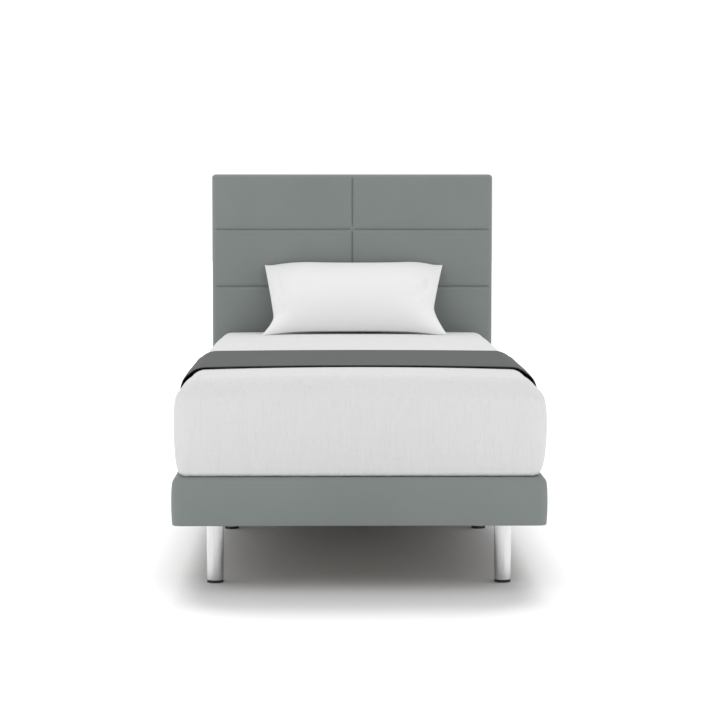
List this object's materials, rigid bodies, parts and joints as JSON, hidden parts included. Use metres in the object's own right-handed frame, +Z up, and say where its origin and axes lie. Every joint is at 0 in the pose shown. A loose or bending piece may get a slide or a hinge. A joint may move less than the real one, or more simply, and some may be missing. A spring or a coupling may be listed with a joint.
{
  "type": "adjustable single bed",
  "caption": "Electric adjustable single bed: padded box on round steel legs, four-part slatted deck lifted by a twin drive, quilted headboard, mattress, bed runner and pillow.",
  "frame": {"origin": "on the floor under the middle of the whole bed, headboard included", "axes": "+Z up; +Y from the foot end to the headboard; +X across the bed, to the right of a viewer at the foot end"},
  "size_m": [0.93, 2.124, 1.054],
  "materials": {
    "upholstery_grey": "matte",
    "mattress_white": "matte",
    "runner_grey": "matte",
    "pillow_white": "matte",
    "leg_steel": "satin",
    "black_plastic": "matte",
    "white_nylon": "satin",
    "painted_steel": "satin",
    "zinc_steel": "satin",
    "beech": "satin",
    "pine": "matte",
    "board": "matte",
    "foam": "matte",
    "back_cloth": "matte",
    "black_rubber": "matte",
    "motor_steel": "satin",
    "circuit_green": "satin"
  },
  "bodies": {
    "base": {"side_rail_left": "pine", "side_rail_right": "pine", "foot_rail": "pine", "head_rail": "pine", "corner_blocks": "pine", "box_cover": "upholstery_grey", "leg_beams": "painted_steel", "foot_legs": "leg_steel", "middle_legs": "leg_steel", "head_legs": "leg_steel", "leg_glides": "black_plastic", "leg_studs": "zinc_steel", "frame_side_members": "painted_steel", "frame_cross_tubes": "painted_steel", "hinge_brackets": "painted_steel", "hinge_pins": "zinc_steel", "rubber_buffers": "black_rubber", "seat_frame": "painted_steel", "seat_slats": "beech", "seat_slat_caps": "black_plastic", "mattress_seat": "mattress_white", "torque_bearings": "white_nylon", "drive_tray": "black_plastic", "drive_cover": "black_plastic", "drive_saddle_caps": "black_plastic", "drive_motors": "motor_steel", "drive_circuit_board": "circuit_green", "mains_inlet": "black_plastic", "headboard_frame": "pine", "headboard_board": "board", "headboard_pads": "foam", "headboard_cover": "upholstery_grey", "headboard_back_cloth": "back_cloth", "headboard_bolts": "zinc_steel", "headboard_spacers": "black_plastic"},
    "back_section": {"back_frame": "painted_steel", "back_slats": "beech", "back_slat_caps": "black_plastic", "mattress_back": "mattress_white", "pillow": "pillow_white"},
    "thigh_section": {"thigh_frame": "painted_steel", "thigh_slats": "beech", "thigh_slat_caps": "black_plastic", "knee_pins": "zinc_steel", "mattress_thigh": "mattress_white", "runner_thigh": "runner_grey"},
    "calf_section": {"calf_frame": "painted_steel", "calf_slats": "beech", "calf_slat_caps": "black_plastic", "mattress_calf": "mattress_white", "runner_calf": "runner_grey"},
    "calf_links": {"calf_link_arms": "painted_steel"},
    "back_lift_tube": {"back_torque_tube": "painted_steel"},
    "back_lift_rollers": {"back_rollers": "white_nylon"},
    "leg_lift_tube": {"leg_torque_tube": "painted_steel"},
    "leg_lift_rollers": {"leg_rollers": "white_nylon"},
    "back_nut": {"back_push_block": "white_nylon"},
    "leg_nut": {"leg_push_block": "white_nylon"},
    "back_screw": {"back_spindle": "zinc_steel"},
    "leg_screw": {"leg_spindle": "zinc_steel"}
  },
  "joints": [
    {"name": "back_lift", "type": "hinge", "parent": "base", "child": "back_section", "pos_m": [0, 0.128, 0.2545], "axis": [1, 0, 0], "range_deg": [0, 60], "deforming": ["mattress_back", "mattress_seat"]},
    {"name": "back_tube_turn", "type": "hinge", "parent": "base", "child": "back_lift_tube", "pos_m": [0, 0.118, 0.2395], "axis": [1, 0, 0], "range_deg": [0, 57]},
    {"name": "back_roller_roll", "type": "hinge", "parent": "back_lift_tube", "child": "back_lift_rollers", "pos_m": [0, 0.39743, 0.2217], "axis": [1, 0, 0], "range_deg": [-24, 0]},
    {"name": "back_block_slide", "type": "slide", "parent": "base", "child": "back_nut", "axis": [0, 1, 0], "range_m": [0, 0.059]},
    {"name": "back_spindle_turn", "type": "hinge", "parent": "base", "child": "back_screw", "pos_m": [0.03, 0.118, 0.1675], "axis": [0, -1, 0], "range_deg": [0, 7060]},
    {"name": "thigh_lift", "type": "hinge", "parent": "base", "child": "thigh_section", "pos_m": [0, -0.102, 0.2545], "axis": [-1, 0, 0], "range_deg": [0, 35], "deforming": ["mattress_thigh", "runner_thigh"]},
    {"name": "calf_fold", "type": "hinge", "parent": "thigh_section", "child": "calf_section", "pos_m": [0, -0.422, 0.2545], "axis": [1, 0, 0], "range_deg": [0, 40.5]},
    {"name": "calf_link_swing", "type": "hinge", "parent": "base", "child": "calf_links", "pos_m": [0, -0.7786, 0.2359], "axis": [-1, 0, 0], "range_deg": [0, 47]},
    {"name": "leg_tube_turn", "type": "hinge", "parent": "base", "child": "leg_lift_tube", "pos_m": [0, -0.092, 0.2395], "axis": [-1, 0, 0], "range_deg": [0, 32.5]},
    {"name": "leg_roller_roll", "type": "hinge", "parent": "leg_lift_tube", "child": "leg_lift_rollers", "pos_m": [0, -0.27112, 0.2217], "axis": [-1, 0, 0], "range_deg": [-20, 0]},
    {"name": "leg_block_slide", "type": "slide", "parent": "base", "child": "leg_nut", "axis": [0, -1, 0], "range_m": [0, 0.035]},
    {"name": "leg_spindle_turn", "type": "hinge", "parent": "base", "child": "leg_screw", "pos_m": [-0.03, -0.092, 0.1675], "axis": [0, 1, 0], "range_deg": [0, 4190]}
  ],
  "couplings": [
    {"joint": "back_tube_turn", "follows": "back_lift", "ratio": 0.9448},
    {"joint": "back_roller_roll", "follows": "back_lift", "ratio": -0.3977},
    {"joint": "back_block_slide", "follows": "back_lift", "m_per_rad": 0.05613},
    {"joint": "back_spindle_turn", "follows": "back_lift", "ratio": 117.56},
    {"joint": "calf_fold", "follows": "thigh_lift", "ratio": 1.15},
    {"joint": "calf_link_swing", "follows": "thigh_lift", "ratio": 1.342},
    {"joint": "leg_tube_turn", "follows": "thigh_lift", "ratio": 0.923},
    {"joint": "leg_roller_roll", "follows": "thigh_lift", "ratio": -0.5639},
    {"joint": "leg_block_slide", "follows": "thigh_lift", "m_per_rad": 0.05704},
    {"joint": "leg_spindle_turn", "follows": "thigh_lift", "ratio": 119.46}
  ]
}
